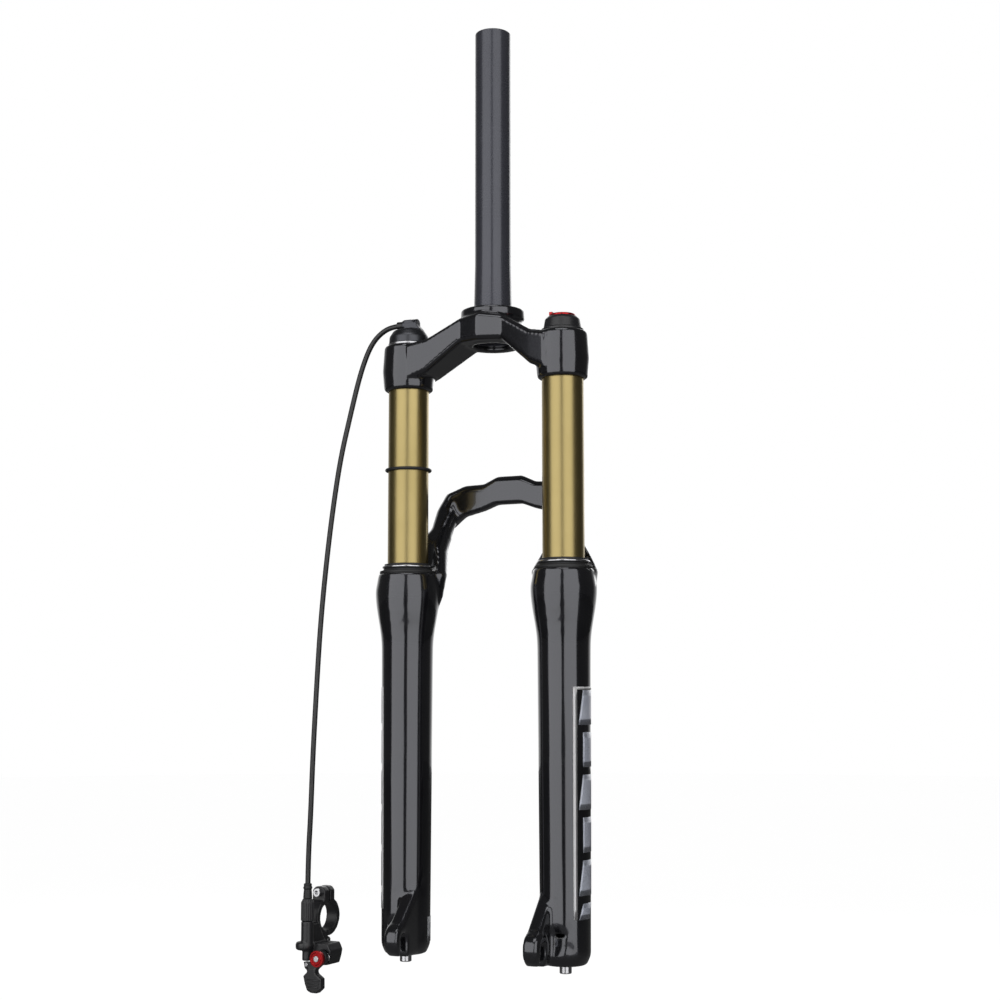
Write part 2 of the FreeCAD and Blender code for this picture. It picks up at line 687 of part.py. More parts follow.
def leg_fittings():
    """Seals, bushings and fasteners that sit in the lower legs, the same in both."""
    slide = "stanchion_dia / 2 + running"
    bushing_bore = f"{slide} + bushing_wall"

    for side, place_x in SIDES.items():
        seal = turned(f"seal_{side}", [
            (slide, "-rim_depth - seal_seat + 0.1"),
            ("seal_dia / 2 - running", "-rim_depth - seal_seat + 0.1"),
            ("seal_dia / 2 - running", "-rim_depth"),
            ("seal_dia / 2 + 0.6", "-rim_depth"),
            ("seal_dia / 2 + 0.5", "-rim_depth + 1.6", 0.6),
            (f"{slide} + 3.6", "-rim_depth + 2.2"),
            (f"{slide} + 2.2", "-rim_depth + 4.6"),
            (f"{slide} + 2.4", "-rim_depth + 7"),
            (slide, "-rim_depth + 7.6"),
        ], place_x, LEG_Y)
        keep(seal, f"wiper_seal_{side}")
    pair("garter_springs", lambda name, x: torus(
        name, f"{slide} + 3.2", 0.9, (x, LEG_Y, "-rim_depth + 4.8")))
    pair("foam_rings", lambda name, x: ring(
        name, "seal_dia - 5", "stanchion_dia + 4 * running", "-rim_depth - seal_seat",
        "-rim_depth - seal_seat - foam_tall", x, LEG_Y))
    for name, depth in (("upper_bushings", "upper_bushing_depth"),
                        ("lower_bushings", "lower_bushing_depth")):
        pair(name, lambda member, x, depth=depth: ring(
            member, f"2 * ({bushing_bore})", f"2 * ({slide})", f"-{depth}",
            f"-{depth} - bushing_tall", x, LEG_Y))
    pair("crush_washers", lambda name, x: ring(
        name, "foot_bolt_head + 4", "foot_bolt_dia", "-leg_foot", "-leg_foot - 1", x, LEG_Y))
    pair("bottom_bumpers", lambda name, x: ring(
        name, "shaft_dia + 10", "shaft_dia", "-leg_foot + floor_thick + bumper_tall",
        "-leg_foot + floor_thick", x, LEG_Y))

    def foot_bolt(name, x):
        shank = cylinder(name + "_shank", "foot_bolt_dia", "floor_thick + 13",
                         (x, LEG_Y, "-leg_foot - 1"))
        head = turned(name + "_head", [
            (0, "-leg_foot - 1 - foot_bolt_proud"),
            ("foot_bolt_head / 2", "-leg_foot - 1 - foot_bolt_proud", 0.6),
            ("foot_bolt_head / 2", "-leg_foot - 1"), (0, "-leg_foot - 1"),
        ], x, LEG_Y)
        socket = doc.addObject("Part::Prism", name + "_socket")
        socket.Polygon = 6
        size(socket, Circumradius="foot_bolt_head * 0.32", Height=4)
        place(socket, x, LEG_Y, "-leg_foot - 1.5 - foot_bolt_proud")
        return cut(name, fuse(name + "_blank", [head, shank]), [socket])

    pair("foot_bolts", foot_bolt)


def shafts_and_pistons():
    inside = "stanchion_dia / 2 - stanchion_wall"
    seat = "-leg_foot + floor_thick"
    depths = {"damper": "damper_piston_depth", "air": "air_piston_depth"}
    names = {"damper": "rebound_piston", "air": "air_piston"}
    for side, x in SIDES.items():
        top = f"-{depths[side]}"
        shaft = turned(f"{side}_shaft_bar", [
            ("foot_bolt_dia / 2", seat),
            ("shaft_dia / 2", seat, 0.5),
            ("shaft_dia / 2", top),
            (0, top),
            (0, f"{seat} + 12"),
            ("foot_bolt_dia / 2", f"{seat} + 12"),
        ], x, LEG_Y)
        keep(shaft, f"{side}_shaft")
        groove = f"{inside} - ring_section * 0.8"
        piston = turned(f"{names[side]}_body", [
            (0, top),
            (f"{inside} - 0.4", top, 0.5),
            (f"{inside} - 0.4", f"{top} + piston_tall / 2 - ring_section / 2"),
            (groove, f"{top} + piston_tall / 2 - ring_section / 2"),
            (groove, f"{top} + piston_tall / 2 + ring_section / 2"),
            (f"{inside} - 0.4", f"{top} + piston_tall / 2 + ring_section / 2"),
            (f"{inside} - 0.4", f"{top} + piston_tall", 0.5),
            (0, f"{top} + piston_tall"),
        ], x, LEG_Y)
        keep(piston, names[side])
        band = ring(f"{names[side]}_band", f"2 * ({inside} - running)", f"2 * ({groove})",
                    f"{top} + piston_tall / 2 + ring_section / 2",
                    f"{top} + piston_tall / 2 - ring_section / 2", x, LEG_Y)
        keep(band, f"{names[side]}_ring")
        head_top = "-stanchion_foot + seal_head_tall"
        head = turned(f"{side}_head", [
            ("shaft_dia / 2 + running", "-stanchion_foot"),
            (inside, "-stanchion_foot"),
            (inside, head_top, 0.6),
            ("shaft_dia / 2 + running", head_top),
        ], x, LEG_Y)
        keep(head, f"{side}_seal_head")


def negative_spring():
    """Coil between the air leg's seal head and the underside of its piston."""
    wire = number("spring_wire")
    radius = number("shaft_dia / 2 + spring_wire")
    foot = number("-stanchion_foot + seal_head_tall + spring_wire / 2")
    top = number("-air_piston_depth - spring_wire / 2")
    turns = number("spring_turns")
    height = top - foot
    path = Part.makeHelix(height / turns, height, radius)
    start = FreeCAD.Vector(radius, 0, 0)
    profile = Part.Wire([Part.makeCircle(wire / 2, start, FreeCAD.Vector(0, 1, 0))])
    coil = doc.addObject("Part::Feature", "coil")
    coil.Shape = Part.Wire(path).makePipeShell([profile], True, True)
    place(coil, SIDES["air"], LEG_Y, foot)
    keep(coil, "negative_spring")


def housing_path(points):
    """Straight runs joined by tangent arcs, each as large as its two runs allow."""
    corners = [FreeCAD.Vector(*point) for point in points]
    edges = []
    radii = []
    start = corners[0]
    for before, corner, after in zip(corners, corners[1:], corners[2:]):
        inward = (before - corner).normalize()
        outward = (after - corner).normalize()
        turn = math.pi - inward.getAngle(outward)
        reach = 0.45 * min((before - corner).Length, (after - corner).Length)
        radius = reach / math.tan(turn / 2)
        radii.append(radius)
        first = corner + inward * reach
        last = corner + outward * reach
        bisector = (inward + outward).normalize()
        middle = corner + bisector * (radius / math.cos(turn / 2) - radius)
        edges.append(Part.LineSegment(start, first).toShape())
        edges.append(Part.Arc(first, middle, last).toShape())
        start = last
    edges.append(Part.LineSegment(start, corners[-1]).toShape())
    return Part.Wire(edges), radii


def cable_housing():
    path, radii = housing_path(HOUSING_ROUTE)
    radius = number("housing_dia / 2")
    start = FreeCAD.Vector(*HOUSING_ROUTE[0])
    heading = FreeCAD.Vector(*HOUSING_ROUTE[1]) - start
    profile = Part.Wire([Part.makeCircle(radius, start, heading)])
    housing = doc.addObject("Part::Feature", "housing")
    housing.Shape = path.makePipeShell([profile], True, True)
    keep(housing, "cable_housing")
    expected = math.pi * radius ** 2 * path.Length
    print("cable housing length", round(path.Length, 1))
    print("bend radii", [round(value, 1) for value in radii])
    print("volume against section times length", round(housing.Shape.Volume / expected, 4))

    ferrule = cut("ferrule", cylinder("ferrule_outside", "housing_dia + 2.2", "ferrule_long", (
        f"{SIDES['damper']} - cable_stop_reach - ferrule_long", LEG_Y, "-cable_stop_depth"), "X"),
        [cylinder("ferrule_bore", "housing_dia", "ferrule_long + 2", (
            f"{SIDES['damper']} - cable_stop_reach - ferrule_long - 1", LEG_Y,
            "-cable_stop_depth"), "X")])
    keep(ferrule, "housing_ferrule")

    top = "barrel_tall + 11.7"
    boot = turned("boot", [
        (0, "barrel_tall - 4"),
        (2.4, "barrel_tall - 4"),
        (2.4, "barrel_tall + 0.4"),
        (3.6, "barrel_tall + 0.4"),
        (3.3, "barrel_tall + 5", 0.6),
        (3.1, "barrel_tall + 7"),
        (3.7, "barrel_tall + 8.4", 0.6),
        (3.1, "barrel_tall + 9.8"),
        (3.3, top, 0.6),
        (0, top),
    ])
    keep(in_remote(boot, "column_x", "column_y"), "housing_boot")


def in_remote(piece, x=0, y=0):
    """Put a piece from the remote's own frame, about the handlebar, where the remote hangs."""
    wrapper = doc.addObject("Part::Compound", piece.Name + "_in_place")
    wrapper.Links = [piece]
    if x or y:
        place(piece, x, y)
    return place(wrapper, *REMOTE)


def remote():
    bar = "bar_dia / 2"
    outer = f"({bar} + strap_thick)"
    half = "strap_wide / 2"
    split = 0.75

    def band(name, far_side):
        """Half of the clamp ring; the far side is the rear one, cut away to leave the front."""
        blank = cylinder(f"{name}_blank", f"2 * {outer}", "strap_wide", (f"-{half}", 0, 0), "X")
        hollow = cylinder(f"{name}_hollow", "bar_dia", "strap_wide + 2", (f"-{half} - 1", 0, 0), "X")
        foot = f"-{split}" if far_side else f"{split} - 60"
        waste = block(f"{name}_waste", (30, 60, 60), (-15, foot, -30))
        return cut(name, blank, [hollow, waste])

    front = band("band_front", True)
    rear = band("band_rear", False)
    ear_top = f"{outer} + 9"
    ear_foot = f"{bar} + 1.5"
    ear_shape = [
        (f"-{half} - 1", ear_foot), (f"{half} + 1", ear_foot), (f"{half} + 1", f"{ear_top} - 3.2"),
        (f"{half} - 1.4", f"{ear_top} - 0.6"), (f"{half} - 3", ear_top), (f"-{half} + 3", ear_top),
        (f"-{half} + 1.4", f"{ear_top} - 0.6"), (f"-{half} - 1", f"{ear_top} - 3.2"),
    ]
    front_ear = prism("front_ear", "XZ_Plane", ear_shape, split, 6)
    rear_ear = prism("rear_ear", "XZ_Plane", ear_shape, -split - 5.5, 5.5)
    screw_z = f"{outer} + 4.4"
    hinge_z = f"-{outer} - 3.4"
    knuckle = block("knuckle", ("strap_wide", 5.4, 8), (f"-{half}", -6, f"{hinge_z} - 3"))
    knuckle_eye = cylinder("knuckle_eye", 6, "strap_wide", (f"-{half}", 0, hinge_z), "X")
    tongue_gap = block("tongue_gap", (3.2, 8, 8), (-1.6, -3.4, f"{hinge_z} - 4"))
    tongue = cylinder("tongue", 5.6, 2.8, (-1.4, 0, hinge_z), "X")
    tongue_root = block("tongue_root", (2.8, 4.6, 6), (-1.4, 0, hinge_z))
    pin_bore = cylinder("pin_bore", 2.4, "strap_wide + 4", (f"-{half} - 2", 0, hinge_z), "X")

    column = turned("column", [
        (1.2, -31), (3.8, -31, 0.6), (3.8, -20), ("column_dia / 2", -20),
        ("column_dia / 2", -0.4, 0.6), (2.5, -0.4), (2.5, -12), (1.2, -12),
    ], "column_x", "column_y")
    flange = turned("flange", [(0, -23), (7, -23, 2.2), (7, -16.5, 2.2), (0, -16.5)],
                    "column_x - 2.6", "column_y")
    web = prism("web", "YZ_Plane", [
        ("column_y + 3.2", -3), ("column_y + 3.2", -26), (-10, -26), (-6, -17), (-11.5, -9),
        (-13.6, -3),
    ], "column_x - 5.4", 8.6)
    hull = prism("hull", "XZ_Plane", [
        ("column_x - 3", -18), ("column_x - 3", -27), ("pivot_x - 6.5", "-pivot_drop - 3"),
        ("pivot_x - 2.5", "-pivot_drop - 6.5"), ("pivot_x + 3", "-pivot_drop - 6"),
        ("pivot_x + 5.6", "-pivot_drop + 2"), ("pivot_x + 6", -23), ("pivot_x + 3", -17.6),
    ], 5, "-lever_face - 5.6")
    pivot_hole = cylinder("pivot_hole", "pivot_dia", 30,
                          ("pivot_x", "lever_face - 2", "-pivot_drop"), "Y")
    spring_pocket = cylinder("spring_pocket", 10.4, 3.6,
                             ("pivot_x", "lever_face + 0.2", "-pivot_drop"), "Y")
    screw_way = cylinder("screw_way", 4.4, 20, (0, -14, screw_z), "Y")
    body = cut("remote_shell", fuse("remote_blank", [
        front, front_ear, knuckle, knuckle_eye, column, flange, web, hull]), [
        tongue_gap, pin_bore, pivot_hole, spring_pocket, screw_way])
    keep(in_remote(body), "remote_body")

    strap = cut("strap", fuse("strap_blank", [rear, rear_ear, tongue, tongue_root]), [
        cylinder("strap_pin_bore", 2.4, 10, (-5, 0, hinge_z), "X"),
        cylinder("strap_thread", 4, 20, (0, -2, screw_z), "Y")])
    keep(in_remote(strap), "clamp_strap")
    keep(in_remote(cylinder("hinge_rod", 2.4, "strap_wide", (f"-{half}", 0, hinge_z), "X")),
         "clamp_hinge_pin")
    head = cylinder("screw_head", 6.6, 3.4, (0, f"-{split} - 9.4", screw_z), "Y")
    shank = cylinder("screw_shank", 4, 13, (0, f"-{split} - 6.5", screw_z), "Y")
    key = cylinder("screw_key", 3.2, 2, (0, f"-{split} - 9.6", screw_z), "Y")
    keep(in_remote(cut("screw", fuse("screw_blank", [head, shank]), [key])), "clamp_screw")

    keep(in_remote(turned("barrel", [
        (2.45, 0), ("barrel_dia / 2", 0, 0.5), ("barrel_dia / 2", "barrel_tall - 3"),
        ("barrel_dia / 2 - 1.4", "barrel_tall", 0.5), (2.45, "barrel_tall"),
    ]), "column_x", "column_y"), "barrel_adjuster")
    keep(in_remote(cut("adjuster_thread_blank", cylinder("thread_rod", 4.9, 20, (0, 0, -9)), [
        cylinder("thread_bore", 1.6, 22, (0, 0, -10))]), "column_x", "column_y"),
        "adjuster_screw")
    lever_pieces()


def lever_pieces():
    pivot = ("pivot_x", "-pivot_drop")
    hub = cylinder("lever_hub", 11, "lever_thick", (pivot[0], "lever_face - lever_thick",
                                                    pivot[1]), "Y")
    arm = prism("lever_arm", "XZ_Plane", [
        ("column_x - 2.4", -32), ("column_x + 5", -32), ("pivot_x - 3", "-pivot_drop"),
        ("pivot_x + 4", "-pivot_drop - 3"), ("pivot_x - 3.4", -37), ("pivot_x - 5", -39),
        ("column_x + 1.2", -39), ("column_x - 1.6", -36.6),
    ], "-lever_face", "lever_thick")
    paddle = prism("lever_paddle", "XZ_Plane", [
        ("column_x + 1.6", -36.6), ("pivot_x - 5", -36.6), ("pivot_x - 4.4", -40.4),
        ("pivot_x + 1.2", -44), ("pivot_x + 1.4", -51.5), ("pivot_x - 3", -55.4),
        ("column_x + 5", -55.4), ("column_x + 1.4", -53.8), ("column_x - 0.6", -49),
        ("column_x - 2.4", -43), ("column_x + 1", -40),
    ], "-lever_face - 0.6", "lever_thick + 1.2")
    nipple_seat = cylinder("nipple_seat", 3.2, 12, ("column_x", "lever_face - lever_thick - 1",
                                                    "-nipple_drop"), "Y")
    button_bore = cylinder("button_bore", "pivot_dia + 2 * running", "lever_thick + 6", (
        "pivot_x", "lever_face - lever_thick - 3", "-pivot_drop"), "Y")
    keep(in_remote(cut("lever", fuse("lever_blank", [hub, arm, paddle]), [
        nipple_seat, button_bore])), "thumb_lever")
    keep(in_remote(cylinder("nipple", 3.2, "lever_thick", (
        "column_x", "lever_face - lever_thick", "-nipple_drop"), "Y")), "cable_nipple")
    pin = cut("pivot_tube", cylinder("pivot_rod", "pivot_dia", "lever_thick + 16", (
        "pivot_x", "lever_face - lever_thick", "-pivot_drop"), "Y"), [
        cylinder("pivot_bore", 2.1, "lever_thick + 13", (
            "pivot_x", "lever_face - lever_thick - 1", "-pivot_drop"), "Y")])
    keep(in_remote(pin), "lever_pivot")
    button_travel = 2.4
    cap = cylinder("button_cap", "button_dia", 2.6, (
        "pivot_x", f"lever_face - lever_thick - 2.6 - {button_travel} - 0.3", "-pivot_drop"), "Y")
    stem = cylinder("button_stem", 2, 8, (
        "pivot_x", f"lever_face - lever_thick - {button_travel} - 0.3", "-pivot_drop"), "Y")
    pit = cylinder("button_pit", 4.6, 1, (
        "pivot_x", f"lever_face - lever_thick - 3.6 - {button_travel}", "-pivot_drop"), "Y")
    keep(in_remote(cut("button", fuse("button_blank", [cap, stem]), [pit])), "release_button")
    keep(in_remote(cylinder("button_dot", 4.6, 0.9, (
        "pivot_x", f"lever_face - lever_thick - 3.5 - {button_travel}", "-pivot_drop"), "Y")),
        "button_screw")


def return_spring():
    """Torsion coil in the pocket round the lever's pivot."""
    wire = 0.9
    radius = 3.9
    rise = 2.4
    path = Part.makeHelix(rise / 2.5, rise, radius)
    profile = Part.Wire([Part.makeCircle(wire / 2, FreeCAD.Vector(radius, 0, 0),
                                         FreeCAD.Vector(0, 1, 0))])
    coil = doc.addObject("Part::Feature", "torsion_coil")
    coil.Shape = Part.Wire(path).makePipeShell([profile], True, True)
    coil.Placement.Rotation = FreeCAD.Rotation(FreeCAD.Vector(1, 0, 0), -90)
    place(coil, "pivot_x", "lever_face + 0.8", "-pivot_drop")
    wrapper = doc.addObject("Part::Compound", "torsion_coil_in_place")
    wrapper.Links = [coil]
    keep(place(wrapper, *REMOTE), "lever_return_spring")


def finish():
    doc.recompute()
    faults = [item.Name for item in doc.Objects if {"Invalid", "Error"} & set(item.State)]
    if faults:
        raise RuntimeError(f"objects that failed to build: {faults}")
    for piece in subparts:
        if piece.Shape.isNull() or not piece.Shape.isValid():
            raise RuntimeError(f"{piece.Label} has no valid shape")
    os.makedirs("parts", exist_ok=True)
    for piece in subparts:
        piece.Shape.exportStep(f"parts/{piece.Label}.step")
    print(len(subparts), "sub-parts written")


steerer_and_crown()
stanchions()
damper_top()
air_top()
lower_casting()
leg_fittings()
shafts_and_pistons()
negative_spring()
cable_housing()
remote()
return_spring()

finish()
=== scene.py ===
import bmesh
import bpy
import json
import math
from mathutils import Matrix, Vector


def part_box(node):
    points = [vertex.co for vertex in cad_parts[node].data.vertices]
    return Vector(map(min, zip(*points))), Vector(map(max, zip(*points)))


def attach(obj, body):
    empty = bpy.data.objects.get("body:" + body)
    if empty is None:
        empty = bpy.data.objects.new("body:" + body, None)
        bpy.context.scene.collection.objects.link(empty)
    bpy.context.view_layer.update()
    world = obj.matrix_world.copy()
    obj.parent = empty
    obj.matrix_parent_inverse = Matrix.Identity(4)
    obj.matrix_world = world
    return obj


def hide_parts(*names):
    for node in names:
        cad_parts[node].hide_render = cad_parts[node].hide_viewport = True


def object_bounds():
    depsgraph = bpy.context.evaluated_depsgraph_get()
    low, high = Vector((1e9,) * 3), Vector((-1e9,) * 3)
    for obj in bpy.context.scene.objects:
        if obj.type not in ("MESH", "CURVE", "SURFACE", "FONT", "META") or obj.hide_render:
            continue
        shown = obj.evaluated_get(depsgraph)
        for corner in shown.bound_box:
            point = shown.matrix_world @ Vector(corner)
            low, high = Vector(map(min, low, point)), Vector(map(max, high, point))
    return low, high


# Air-sprung suspension fork with a cable-operated lockout and its handlebar remote, in a
# small studio. Metres. The origin is the crown-race seat, +Z runs up the steerer, +X is the
# air leg's side and -Y the front of the bicycle.

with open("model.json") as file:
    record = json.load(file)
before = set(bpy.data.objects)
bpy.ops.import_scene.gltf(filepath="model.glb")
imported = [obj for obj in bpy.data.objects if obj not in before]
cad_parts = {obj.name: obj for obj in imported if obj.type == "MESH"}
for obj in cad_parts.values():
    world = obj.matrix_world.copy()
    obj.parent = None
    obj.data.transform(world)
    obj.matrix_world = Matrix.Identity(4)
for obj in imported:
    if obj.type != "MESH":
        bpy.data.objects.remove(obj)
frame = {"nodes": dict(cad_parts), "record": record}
cad_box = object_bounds()

# ---------------------------------------------------------------- camera

CAMERA_AZIMUTH = math.radians(23.8084)
CAMERA_PITCH = math.radians(-6.215)
CAMERA_ROLL = math.radians(-0.0416)
CAMERA_DISTANCE = 1.23088
CAMERA_ASIDE = 0.005478
CAMERA_HEIGHT = -0.300709
CAMERA_LENS = 56.78
CAMERA_SHIFT = 0.02


def add_camera():
    """The view of the fork from its front left, a little below its middle."""
    azimuth, pitch = CAMERA_AZIMUTH, CAMERA_PITCH
    towards = Vector((math.sin(azimuth), -math.cos(azimuth), 0))
    right = Vector((math.cos(azimuth), math.sin(azimuth), 0))
    back = towards * math.cos(pitch) + Vector((0, 0, math.sin(pitch)))
    up = back.cross(right)
    across = right * math.cos(CAMERA_ROLL) + up * math.sin(CAMERA_ROLL)
    upright = up * math.cos(CAMERA_ROLL) - right * math.sin(CAMERA_ROLL)
    place = towards * CAMERA_DISTANCE + right * CAMERA_ASIDE + Vector((0, 0, CAMERA_HEIGHT))
    data = bpy.data.cameras.new("studio_camera")
    data.lens = CAMERA_LENS
    data.sensor_width = 36
    data.shift_y = CAMERA_SHIFT
    data.clip_start = 0.02
    data.clip_end = 40
    camera = bpy.data.objects.new("studio_camera", data)
    turn = Matrix((across, upright, back)).transposed().to_4x4()
    camera.matrix_world = Matrix.Translation(place) @ turn
    bpy.context.scene.collection.objects.link(camera)
    bpy.context.scene.camera = camera


add_camera()

# ---------------------------------------------------------------- lockout cable housing

HOUSING_ROUTE = [
    (-0.071, -0.017, -0.008),
    (-0.081, -0.017, -0.008),
    (-0.0906, -0.0172, -0.0118),
    (-0.0988, -0.0176, -0.0197),
    (-0.1048, -0.018, -0.0315),
    (-0.111, -0.0185, -0.05),
    (-0.118, -0.019, -0.078),
    (-0.1263, -0.0194, -0.112),
    (-0.1328, -0.0198, -0.153),
    (-0.1386, -0.02, -0.2),
    (-0.1432, -0.02, -0.248),
    (-0.1464, -0.0196, -0.3),
    (-0.1494, -0.0188, -0.352),
    (-0.1514, -0.0178, -0.4),
    (-0.1534, -0.017, -0.428),
    (-0.1536, -0.017, -0.452),
]
HOUSING_DIAMETER = 0.0042


def add_housing():
    """The cable housing, from the stop on the lockout cover down to the remote's boot."""
    curve = bpy.data.curves.new("lockout_cable_housing", "CURVE")
    curve.dimensions = "3D"
    line = curve.splines.new("NURBS")
    line.points.add(len(HOUSING_ROUTE) - 1)
    for point, place in zip(line.points, HOUSING_ROUTE):
        point.co = (*place, 1)
        point.radius = HOUSING_DIAMETER / 2
    line.order_u = 3
    line.use_endpoint_u = True
    line.resolution_u = 12
    curve.bevel_depth = 1
    curve.bevel_resolution = 6
    curve.use_fill_caps = True
    housing = bpy.data.objects.new("lockout_cable_housing", curve)
    bpy.context.scene.collection.objects.link(housing)
    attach(housing, "crown_assembly")
    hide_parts("cable_housing")
    return housing


housing = add_housing()

# ---------------------------------------------------------------- studio

PANEL_RADIANCE = 1.6
FLOOR_DROP = 0.28
FLOOR_GLOW = 0.95


def add_panel(name, azimuth, height, distance, wide, tall, radiance):
    """A soft panel that faces the fork, at an angle turned from the camera's own."""
    angle = CAMERA_AZIMUTH + math.radians(azimuth)
    middle = Vector((0, 0, -0.25))
    place = Vector((math.sin(angle) * distance, -math.cos(angle) * distance, height))
    light = bpy.data.lights.new(name, "AREA")
    light.shape = "RECTANGLE"
    light.size = wide
    light.size_y = tall
    light.energy = radiance * math.pi * wide * tall
    panel = bpy.data.objects.new(name, light)
    turn = (place - middle).to_track_quat("Z", "Y").to_matrix().to_4x4()
    panel.matrix_world = Matrix.Translation(place) @ turn
    panel.visible_camera = False
    bpy.context.scene.collection.objects.link(panel)


def add_studio():
    """Two tall panels beside the camera, a weaker one behind, white walls and a pale floor."""
    add_panel("left_panel", -42, -0.1, 1.7, 1.9, 2.4, PANEL_RADIANCE)
    add_panel("right_panel", 26, -0.1, 1.7, 1.66, 2.4, PANEL_RADIANCE)
    add_panel("rear_panel", 165, 0.6, 2.2, 2.2, 1.2, PANEL_RADIANCE * 0.6)
    add_panel("top_panel", -8, 1.9, 1.2, 1.6, 1.2, PANEL_RADIANCE * 1.2)
    world = bpy.data.worlds.new("white_walls")
    world.use_nodes = True
    nodes, links = world.node_tree.nodes, world.node_tree.links
    nodes.clear()
    path = nodes.new("ShaderNodeLightPath")
    walls = nodes.new("ShaderNodeBackground")
    walls.inputs["Color"].default_value = (1, 1, 1, 1)
    walls.inputs["Strength"].default_value = 1.0
    around = nodes.new("ShaderNodeBackground")
    place = nodes.new("ShaderNodeTexCoord")
    behind = nodes.new("ShaderNodeVectorMath")
    behind.operation = "DOT_PRODUCT"
    behind.inputs[1].default_value = (-math.sin(CAMERA_AZIMUTH), math.cos(CAMERA_AZIMUTH), 0)
    ramp = nodes.new("ShaderNodeMapRange")
    ramp.inputs["From Min"].default_value = 0.55
    ramp.inputs["From Max"].default_value = 0.95
    ramp.inputs["To Min"].default_value = 0.07
    ramp.inputs["To Max"].default_value = 1.0
    links.new(place.outputs["Generated"], behind.inputs[0])
    links.new(behind.outputs["Value"], ramp.inputs["Value"])
    links.new(ramp.outputs["Result"], around.inputs["Strength"])
    mix = nodes.new("ShaderNodeMixShader")
    out = nodes.new("ShaderNodeOutputWorld")
    links.new(path.outputs["Is Camera Ray"], mix.inputs["Fac"])
    links.new(around.outputs["Background"], mix.inputs[1])
    links.new(walls.outputs["Background"], mix.inputs[2])
    links.new(mix.outputs["Shader"], out.inputs["Surface"])
    bpy.context.scene.world = world
    bpy.context.scene.view_settings.view_transform = "Standard"

    bm = bmesh.new()
    bmesh.ops.create_circle(bm, cap_ends=True, segments=64, radius=9)
    bmesh.ops.translate(bm, verts=bm.verts, vec=(0, 0, cad_box[0][2] - FLOOR_DROP))
    mesh = bpy.data.meshes.new("studio_floor")
    bm.to_mesh(mesh)
    bm.free()
    floor = bpy.data.objects.new("studio_floor", mesh)
    bpy.context.scene.collection.objects.link(floor)
    return floor


floor = add_studio()

# ---------------------------------------------------------------- shader node groups


def new_group(name, inputs, outputs):
    """An empty shader node group with those sockets: (name, kind, default) and (name, kind)."""
    group = bpy.data.node_groups.new(name, "ShaderNodeTree")
    for label, kind, value in inputs:
        socket = group.interface.new_socket(name=label, in_out="INPUT", socket_type="NodeSocket" + kind)
        socket.default_value = value
    for label, kind in outputs:
        group.interface.new_socket(name=label, in_out="OUTPUT", socket_type="NodeSocket" + kind)
    start = group.nodes.new("NodeGroupInput")
    end = group.nodes.new("NodeGroupOutput")
    return group, start, end


def ranged(nodes, links, source, low, high, to_low, to_high):
    """A Map Range node from a source value, with its ends in order."""
    node = nodes.new("ShaderNodeMapRange")
    node.inputs["From Min"].default_value = low
    node.inputs["From Max"].default_value = high
    node.inputs["To Min"].default_value = to_low
    node.inputs["To Max"].default_value = to_high
    links.new(source, node.inputs["Value"])
    return node.outputs["Result"]


def make_edge_wear():
    """A mask of outside edges where handling has thinned the finish, and a softened normal."""
    group, start, end = new_group(
        "edge_wear",
        [("Reach", "Float", 0.0006), ("Amount", "Float", 0.5), ("Grit", "Float", 900.0)],
        [("Mask", "Float"), ("Normal", "Vector")],
    )
    nodes, links = group.nodes, group.links
    rounded = nodes.new("ShaderNodeBevel")
    rounded.samples = 6
    links.new(start.outputs["Reach"], rounded.inputs["Radius"])
    geometry = nodes.new("ShaderNodeNewGeometry")
    dot = nodes.new("ShaderNodeVectorMath")
    dot.operation = "DOT_PRODUCT"
    links.new(rounded.outputs["Normal"], dot.inputs[0])
    links.new(geometry.outputs["Normal"], dot.inputs[1])
    edge = ranged(nodes, links, dot.outputs["Value"], 0.995, 0.88, 0, 1)
    place = nodes.new("ShaderNodeTexCoord")
    grit = nodes.new("ShaderNodeTexNoise")
    grit.inputs["Detail"].default_value = 4
    links.new(place.outputs["Object"], grit.inputs["Vector"])
    links.new(start.outputs["Grit"], grit.inputs["Scale"])
    broken = ranged(nodes, links, grit.outputs["Fac"], 0.45, 0.62, 0, 1)
    worn = nodes.new("ShaderNodeMath")
    worn.operation = "MULTIPLY"
    links.new(edge, worn.inputs[0])
    links.new(broken, worn.inputs[1])
    scaled = nodes.new("ShaderNodeMath")
    scaled.operation = "MULTIPLY"
    links.new(worn.outputs["Value"], scaled.inputs[0])
    links.new(start.outputs["Amount"], scaled.inputs[1])
    links.new(scaled.outputs["Value"], end.inputs["Mask"])
    links.new(rounded.outputs["Normal"], end.inputs["Normal"])
    return group


